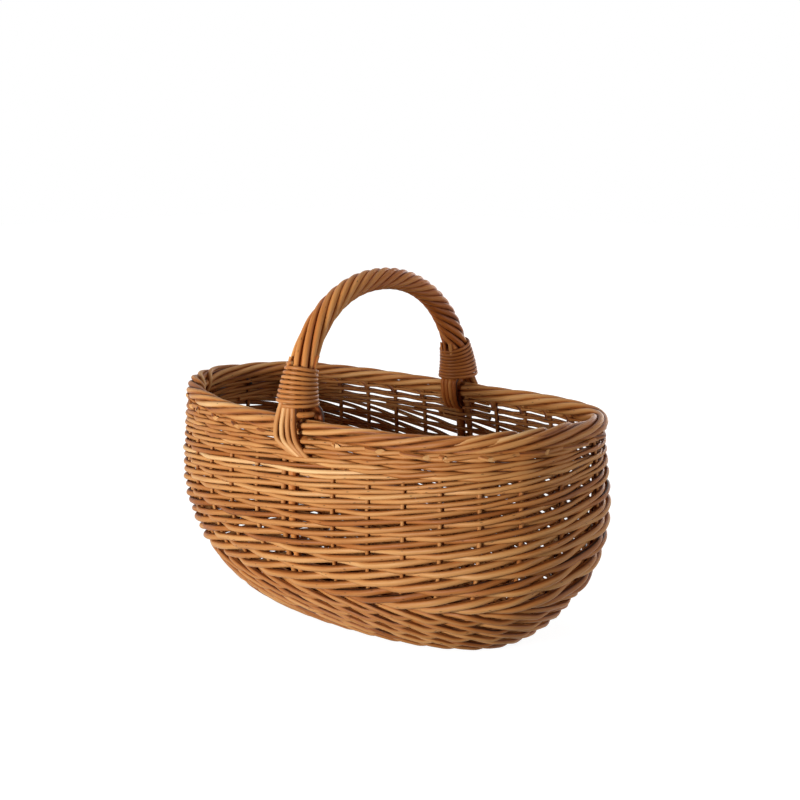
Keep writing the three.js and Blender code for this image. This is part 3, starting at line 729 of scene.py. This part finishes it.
def siding_rod(start):
    """A rod that starts behind one stake and climbs one level with every three stakes."""
    span = REPEAT * SIDING_LEVELS
    walked = np.linspace(-ROD_END, span + ROD_END, (span + 1) * STEPS_PER_STAKE)
    phase = np.clip(walked, 0, span) / REPEAT
    climb = phase + loop_curve(SIDING_SWAY, phase)
    pitch = SIDING_PITCH - SIDING_TAPER * climb
    turns = start + walked
    away = smooth(1 + SIDING_FALL * np.sin(angle_at(turns)))
    tip = phase / SIDING_LEVELS
    swell = 1 + SIDING_SWELL * away * (1 - tip) - SIDING_THIN * far_share(turns) * tip
    radii = SIDING_THICKNESS * pitch * swell * rng.uniform(*SIDING_SIZES)
    distances = siding_foot + climb * (SIDING_PITCH + pitch) / 2 + wander(walked, SIDING_WANDER)
    reach = stake_radius_at(turns, height_at(distances)) + radii - WEAVE_PRESS
    offsets = reach * loop_curve(SIDES_OF_STAKES, phase) + wander(walked, SIDING_STRAY)
    path, out = wall_path(turns, distances, offsets)
    return rod(path, out, radii)


siding_foot = FIRST_ROW_RISE + UPSETT_ROUNDS * UPSETT_PITCH
siding_last_pitch = SIDING_PITCH - SIDING_TAPER * SIDING_LEVELS
top_foot = siding_foot + SIDING_LEVELS * (SIDING_PITCH + siding_last_pitch) / 2
weave_materials = (weave_willow, cut_willow)
upsett = wale(UPSETT_ROUNDS, FIRST_ROW_RISE, UPSETT_PITCH, UPSETT_RADIUS, UPSETT_SWAY, UPSETT_TONE)
siding = [siding_rod(stake) for stake in range(STAKE_COUNT)]
topping = wale(TOP_ROUNDS, top_foot, TOP_PITCH, TOP_RADIUS, TOP_SWAY, TOP_TONE, TOP_THIN, TOP_CALM)
upsett_nodes = [f"upsett_row_{row + 1}" for row in range(UPSETT_NODES)]
siding_nodes = [f"siding_row_{row + 1}" for row in range(SIDING_LEVELS)]
top_nodes = [f"top_row_{row + 1}" for row in range(TOP_NODES)]
piece("upsett_weave", upsett, weave_materials, upsett_nodes)
piece("siding_weave", siding, weave_materials, siding_nodes)
piece("top_weave", topping, weave_materials, top_nodes)


# Border

def beside_border(course):
    """Points by stake spacings, reach and rise from the border's middle, and directions out of it."""
    points, _, level = wall_at(angle_at(course[:, 0]), np.full(len(course), RIM_HEIGHT))
    away = level * course[:, 1:2] + UP * course[:, 2:3]
    return points + away, level, unit(away)


def border_strand(stake):
    """A stake's end: it bends over, turns once round the border and comes out below it, cut short."""
    spin = np.linspace(0, 1, STRAND_STEPS)
    lean = rng.uniform(-STRAND_LEAN, STRAND_LEAN)
    angles = math.radians(STRAND_START) + lean + 2 * math.pi * spin
    circle = STRAND_CIRCLE * rng.uniform(*STRAND_CIRCLES) + wander(STRAND_WAVES * spin, STRAND_WANDER)
    turns = stake + STRAND_SHIFT + BORDER_SPAN * spin
    reach, rise = circle * np.cos(angles), circle * np.sin(angles)
    root = np.array(STRAND_ROOT) * (1, MM, MM) + (stake, 0, 0)
    length = rng.uniform(*END_LENGTHS)
    drop = rng.uniform(*END_DROPS) * MM
    end = np.array(STRAND_END) * (1, MM, MM) + (turns[-1], 0, 0)
    end += ((0, 0, 0), (0, 0, drop / 2), (length, 0, drop))
    controls = np.vstack([root, np.stack([turns, reach, rise], -1), end])
    course = open_curve(controls, CURVE_STEPS)
    path, level, away = beside_border(course)
    radii = np.full(len(path), STRAND_RADIUS * rng.uniform(*STRAND_SIZES))
    radii[-TIP_STEPS:] *= np.linspace(1, STRAND_TIP, TIP_STEPS)
    return rod(path, level, radii, BORDER_TONE, slant=STRAND_SLANT, outward=away)


def bent_stake(place):
    """A stake's end that comes up inside the border and bends over it to the outside."""
    course = open_curve(np.array(BEND_COURSE) * (1, MM, MM), BEND_STEPS) + (place, 0, 0)
    path, level, away = beside_border(course)
    radii = np.linspace(BEND_RADIUS, BEND_TIP_RADIUS, len(course))
    return rod(path, level, radii, BEND_TONE, outward=away)


strands = [border_strand(stake) for stake in range(STAKE_COUNT)]
strands += [bent_stake(place) for place in BEND_PLACES]
piece("border_strands", strands, (border_willow, cut_willow), ["rim_border"])


# Bow handle

def arch_points(angles):
    """The bow's middle line, from the near side of the border to the far one."""
    y = -RIM_HALF_WIDTH * signed_power(np.cos(angles), 2 / HANDLE_POWER)
    y = y - HANDLE_LEAN * np.sin(angles) ** 2
    z = BORDER_TOP + ARCH_RISE * np.abs(np.sin(angles)) ** (2 / HANDLE_POWER)
    return np.stack([0 * y, y, z], -1)


def arch_angle(heights):
    """The angle at which the near half of the arch reaches each height."""
    return np.arcsin(np.clip((heights - BORDER_TOP) / ARCH_RISE, 0, 1) ** (HANDLE_POWER / 2))


def arch_out(angles):
    """Directions square to the arch in its own plane, away from its inside."""
    after = arch_points(np.minimum(angles + ARCH_STEP, math.pi))
    before = arch_points(np.maximum(angles - ARCH_STEP, 0))
    return unit(np.cross(ALONG_X, after - before))


def bundle_radius(heights):
    """The roping's outer radius: a spread bundle under the lapping, drawn in to the grip above it."""
    lap = np.clip((heights - ROPING_FOOT) / (BUNDLE_TOP - ROPING_FOOT), 0, 1)
    bundle = BUNDLE_FOOT_RADIUS + lap * (BUNDLE_TOP_RADIUS - BUNDLE_FOOT_RADIUS)
    return bundle + smooth((heights - BUNDLE_TOP) / BUNDLE_EASE) * (GRIP_RADIUS - bundle)


def around_arch(angles, reach, turn):
    """Points round the arch, turned from its outer side towards +X, and their directions from it."""
    away = arch_out(angles) * np.cos(turn)[:, None] + ALONG_X * np.sin(turn)[:, None]
    return arch_points(angles) + away * np.broadcast_to(reach, len(angles))[:, None], away


# The bow itself, from one foot of the wall to the other
leg_heights = np.linspace(FOOT_HEIGHT, RIM_HEIGHT, UPRIGHT_STEPS)
leg_radii = leg_radius(leg_heights)
near_leg = wall_at(np.full(UPRIGHT_STEPS, angle_at(0)), leg_heights)[0]
bow_angles = np.linspace(0, math.pi, BOW_STEPS)
bow_path = np.vstack([near_leg, arch_points(bow_angles), near_leg[::-1] * (1, -1, 1)])
bow_radii = np.concatenate([leg_radii, np.full(BOW_STEPS, BOW_RADIUS), leg_radii[::-1]])
bow_sides = np.tile(ALONG_X, (len(bow_path), 1))
bow = rod(bow_path, bow_sides, bow_radii, outward=np.tile(ALONG_Y, (len(bow_path), 1)))
handle_materials = (handle_willow, cut_willow)
piece("handle_core", [bow], handle_materials, ["handle_bow"])

# The roping: rods laid side by side round the bow, twisting more towards the middle
rope_start = arch_angle(NEAR_LAPPING_FOOT + ROPE_COVER)
rope_end = math.pi - arch_angle(FAR_LAPPING_FOOT + ROPE_COVER)
rope_angles = np.linspace(rope_start, rope_end, ROPE_STEPS)
rope_line = arch_points(rope_angles)
rope_walk = np.append(0, np.cumsum(np.linalg.norm(np.diff(rope_line, axis=0), axis=1)))
rope_lay = np.radians(np.interp(rope_walk / rope_walk[-1], *ROPE_LAY))
rope_bundle = bundle_radius(rope_line[:, 2])
rope_share = ROPE_PRESS * math.pi * np.cos(rope_lay) / ROPE_RODS
rope_radii = np.minimum(rope_bundle * rope_share / (1 + rope_share), ROPE_ROD_LIMIT)
rope_reach = rope_bundle - rope_radii
rope_steps = np.diff(rope_walk) * (np.tan(rope_lay) / rope_reach)[1:]
rope_turn = np.append(0, np.cumsum(rope_steps))
# Painted light and shade: the roping's tone runs from pale at the near foot to dark at the far one.
rope_painted_light_and_shade = np.linspace(*ROPE_LIT_TO_SHADED_TONES, ROPE_STEPS)
rope = []
for number in range(ROPE_RODS):
    turn = 2 * math.pi * (number + 0.5) / ROPE_RODS - rope_turn
    path, away = around_arch(rope_angles, rope_reach, turn)
    rope.append(rod(path, away, rope_radii, rope_painted_light_and_shade))
piece("handle_rope", rope, handle_materials, ["handle_roping"])


# Lapping

def lapping(foot, tone, far):
    """One rod wound round the near or the far foot of the roping."""
    share = np.linspace(0, 1, LAPPING_TURNS * LAPPING_STEPS + 1)
    heights = foot + share * LAPPING_LENGTH
    reach = bundle_radius(heights) + LAPPING_ROD_RADIUS + wander(LAPPING_WAVES * share, LAPPING_WANDER)
    turn = 2 * math.pi * LAPPING_TURNS * share
    angles = arch_angle(heights)
    if far:
        path, away = around_arch(math.pi - angles, reach, -turn)
    else:
        path, away = around_arch(angles, reach, turn)
    return rod(path, away, LAPPING_WIDTH, tone, flat=LAPPING_ROD_RADIUS / LAPPING_WIDTH)


near_winding = lapping(NEAR_LAPPING_FOOT, NEAR_LAPPING_LIT_TONE, False)
far_winding = lapping(FAR_LAPPING_FOOT, FAR_LAPPING_SHADED_TONE, True)
lapping_materials = (lapping_willow, cut_willow)
piece("near_winding", [near_winding], lapping_materials, ["near_lapping"])
piece("far_winding", [far_winding], lapping_materials, ["far_lapping"])


# Tails

def tails(levels, depths, places, tone, turned):
    """The roping's ends side by side over the border, at the near foot or turned to the far one."""
    turn = np.array((-1, -1, 1)) if turned else np.ones(3)
    levels = np.array(levels, float)
    if not turned:
        levels[:len(TAIL_RISE)] += TAIL_RISE
    rods = []
    for run in zip(*places):
        controls = np.stack([run, -np.array(depths), levels], -1)
        path = open_curve(controls * MM, TAIL_STEPS) * turn
        facing = np.tile(ALONG_Y * turn, (len(path), 1))
        radii = np.linspace(TAIL_RADIUS, TAIL_TIP_RADIUS, len(path))
        rods.append(rod(path, facing, radii, tone))
    return rods


outer = (OUTER_TAIL_LEVELS, OUTER_TAIL_DEPTHS, OUTER_TAIL_PLACES, OUTER_TAIL_TONE)
inner = (INNER_TAIL_LEVELS, INNER_TAIL_DEPTHS)
near_outer = tails(*outer, False)
far_outer = tails(*outer, True)
near_inner = tails(*inner, NEAR_INNER_TAIL_PLACES, INNER_TAIL_TONE, False)
far_inner = tails(*inner, FAR_INNER_TAIL_PLACES, INNER_TAIL_TONE, True)
outer_materials = (border_willow, cut_willow)
piece("near_outer_ends", near_outer, outer_materials, ["near_outer_tails"])
piece("far_outer_ends", far_outer, outer_materials, ["far_outer_tails"])
piece("near_inner_ends", near_inner, handle_materials, ["near_inner_tails"])
piece("far_inner_ends", far_inner, handle_materials, ["far_inner_tails"])


def stub(turn, rise, far):
    """A rod end cut off short above a lapping, so many degrees round the arch from its outer side."""
    top = (FAR_LAPPING_FOOT if far else NEAR_LAPPING_FOOT) + LAPPING_LENGTH
    angles = arch_angle(np.linspace(top - STUB_ROOT, top + rise * MM, STUB_STEPS))
    if far:
        angles = math.pi - angles
    reach = bundle_radius(arch_points(angles)[:, 2]) + STUB_LIFT
    path, away = around_arch(angles, reach, np.full(STUB_STEPS, math.radians(turn)))
    return rod(path, away, STUB_RADIUS, slant=STUB_SLANT)


def curled_end():
    """A thick rod end that curls round the near bundle under its lapping."""
    angles = np.full(STUB_STEPS, arch_angle(np.array(CURL_HEIGHT)))
    turn = np.radians(np.linspace(*CURL_TURNS, STUB_STEPS))
    path, away = around_arch(angles, np.linspace(*CURL_REACH, STUB_STEPS), turn)
    return rod(path, away, CURL_RADIUS, slant=CURL_SLANT)


stubs = [stub(turn, rise, False) for turn, rise in NEAR_STUBS]
stubs += [stub(turn, rise, True) for turn, rise in FAR_STUBS]
piece("roping_stubs", stubs + [curled_end()], handle_materials, ["handle_roping"])


# Base

def nearness(values, count, spacing, reach):
    """How near values lie to the nearest of evenly spaced sticks: 1 on it, 0 a reach away."""
    places = spacing * (np.arange(count) - (count - 1) / 2)
    gaps = np.abs(values[:, None] - places[None, :]).min(axis=1)
    return smooth(RING_GRIP - RING_GRIP * gaps / reach)


def ring_rod(inset, side):
    """One of a ring's two rods, which cross over each other and pass over and under the sticks."""
    length = FOOT_HALF_LENGTH - inset
    width = FOOT_HALF_WIDTH - inset
    angles = np.linspace(0, 2 * math.pi, RING_STEPS)
    x, y = oval_shares(FOOT_POWER, angles)
    x, y = length * x, width * y
    walk = np.append(0, np.cumsum(np.hypot(np.diff(x), np.diff(y))))
    waves = max(RING_LEAST_WAVES, round(walk[-1] / RING_WAVE))
    sway = side * np.cos(2 * math.pi * waves * walk / walk[-1] + rng.uniform(0, RING_SHIFT))
    under = nearness(y, LONG_STICKS, LONG_STICK_SPACING, RING_EASE)
    over = nearness(x, CROSS_STICKS, CROSS_STICK_SPACING, RING_EASE) * (1 - under)
    middle = RING_HEIGHT - under * RING_DROP + over * RING_LIFT
    z = middle + sway * RING_SWAY * (1 - RING_CALM * np.maximum(under, over))
    path = np.stack([x, y, z], -1)
    return rod(path, np.tile(UP, (RING_STEPS, 1)), RING_RADIUS, sides=RING_SIDES)


def stick(along, across, half_length, radius, height, facing):
    """A straight base stick."""
    share = np.linspace(-1, 1, STICK_STEPS)[:, None]
    bend = facing * wander(STICK_WAVES * share, STICK_WANDER)
    path = along * half_length * share + across + UP * height + bend
    return rod(path, np.tile(UP, (STICK_STEPS, 1)), radius)


def foot_reach(along, across, place):
    """Half the foot oval's extent along one half axis, at a place across the other."""
    return along * (1 - (abs(place) / across) ** FOOT_POWER) ** (1 / FOOT_POWER)


rings = []
inset = RING_EDGE
while inset < FOOT_HALF_WIDTH - RING_SPACING / 2:
    rings += [ring_rod(inset, side) for side in (-1, 1)]
    inset += RING_SPACING
base_materials = (base_willow, cut_willow)
piece("base_weave", rings, base_materials, ["base_mat"])

sticks = []
for number in range(LONG_STICKS):
    place = LONG_STICK_SPACING * (number - (LONG_STICKS - 1) / 2)
    half = foot_reach(FOOT_HALF_LENGTH, FOOT_HALF_WIDTH, place) - STICK_EDGE
    sticks.append(stick(ALONG_X, ALONG_Y * place, half, LONG_STICK_RADIUS, LONG_STICK_HEIGHT, ALONG_Y))
for number in range(CROSS_STICKS):
    place = CROSS_STICK_SPACING * (number - (CROSS_STICKS - 1) / 2)
    half = foot_reach(FOOT_HALF_WIDTH, FOOT_HALF_LENGTH, place) - STICK_EDGE
    sticks.append(stick(ALONG_Y, ALONG_X * place, half, CROSS_STICK_RADIUS, CROSS_STICK_HEIGHT, ALONG_X))
stick_nodes = [f"long_stick_{number + 1}" for number in range(LONG_STICKS)]
stick_nodes += [f"cross_stick_{number + 1}" for number in range(CROSS_STICKS)]
piece("base_sticks", sticks, base_materials, stick_nodes)


# Floor, light and camera

def seen_share(tree):
    """1 for what the camera sees, straight or in a shine, and 0 for what lights the basket."""
    path = add_node(tree, "ShaderNodeLightPath")
    share = weighed(tree, path.outputs["Is Glossy Ray"], 1.0, path.outputs["Is Camera Ray"])
    return weighed(tree, path.outputs["Is Transmission Ray"], 1.0, share)


def studio_floor():
    """A white floor that takes the basket's shadow."""
    mesh = bpy.data.meshes.new("floor")
    corners = [(-FLOOR_SIZE, -FLOOR_SIZE, 0), (FLOOR_SIZE, -FLOOR_SIZE, 0)]
    corners += [(FLOOR_SIZE, FLOOR_SIZE, 0), (-FLOOR_SIZE, FLOOR_SIZE, 0)]
    mesh.from_pydata(corners, [], [(0, 1, 2, 3)])
    floor = bpy.data.objects.new("floor", mesh)
    bpy.context.scene.collection.objects.link(floor)
    material = bpy.data.materials.new("floor")
    material.use_nodes = True
    tree = material.node_tree
    shader = tree.nodes["Principled BSDF"]
    shader.inputs["Base Color"].default_value = FLOOR_COLOUR
    shader.inputs["Roughness"].default_value = FLOOR_ROUGHNESS
    shader.inputs["Emission Color"].default_value = WHITE
    place = add_node(tree, "ShaderNodeTexCoord")
    distance = add_node(tree, "ShaderNodeVectorMath", operation="LENGTH")
    tree.links.new(place.outputs["Object"], distance.inputs[0])
    glow = add_node(tree, "ShaderNodeMapRange", interpolation_type="SMOOTHSTEP")
    for key, value in FLOOR_GLOW:
        glow.inputs[key].default_value = value
    tree.links.new(distance.outputs["Value"], glow.inputs["Value"])
    shown = add_node(tree, "ShaderNodeMath", operation="MULTIPLY")
    tree.links.new(glow.outputs["Result"], shown.inputs[0])
    tree.links.new(seen_share(tree), shown.inputs[1])
    tree.links.new(shown.outputs["Value"], shader.inputs["Emission Strength"])
    mesh.materials.append(material)


def aim(thing, place, target):
    """Puts a lamp or the camera in its place, pointing at a target."""
    thing.location = place
    thing.rotation_euler = (Vector(target) - Vector(place)).to_track_quat("-Z", "Y").to_euler()


def soft_lamp(name, place, size, power):
    """A round soft lamp."""
    lamp = bpy.data.lights.new(name, "AREA")
    lamp.shape = "DISK"
    lamp.size = size
    lamp.energy = power
    made = bpy.data.objects.new(name, lamp)
    bpy.context.scene.collection.objects.link(made)
    aim(made, place, LAMP_TARGET)


studio_floor()
for lamp in LAMPS:
    soft_lamp(*lamp)

world = bpy.data.worlds.new("studio")
bpy.context.scene.world = world
world.use_nodes = True
surroundings = world.node_tree.nodes["Background"]
surroundings.inputs["Color"].default_value = WHITE
seen = weighed(world.node_tree, seen_share(world.node_tree), 1 - SURROUND, SURROUND)
world.node_tree.links.new(seen, surroundings.inputs["Strength"])

right = Vector((math.cos(AZIMUTH), math.sin(AZIMUTH), 0))
back = Vector((
    math.sin(AZIMUTH) * math.cos(ELEVATION),
    -math.cos(AZIMUTH) * math.cos(ELEVATION),
    math.sin(ELEVATION),
))
target = Vector((0, 0, TARGET_HEIGHT)) + right * TARGET_SHIFT
lens = bpy.data.cameras.new("camera")
lens.sensor_width = SENSOR_WIDTH
lens.lens = FOCAL_LENGTH
camera = bpy.data.objects.new("camera", lens)
bpy.context.scene.collection.objects.link(camera)
aim(camera, target + back * SHOT_DISTANCE, target)
bpy.context.scene.camera = camera

bpy.context.scene.view_settings.view_transform = "Standard"
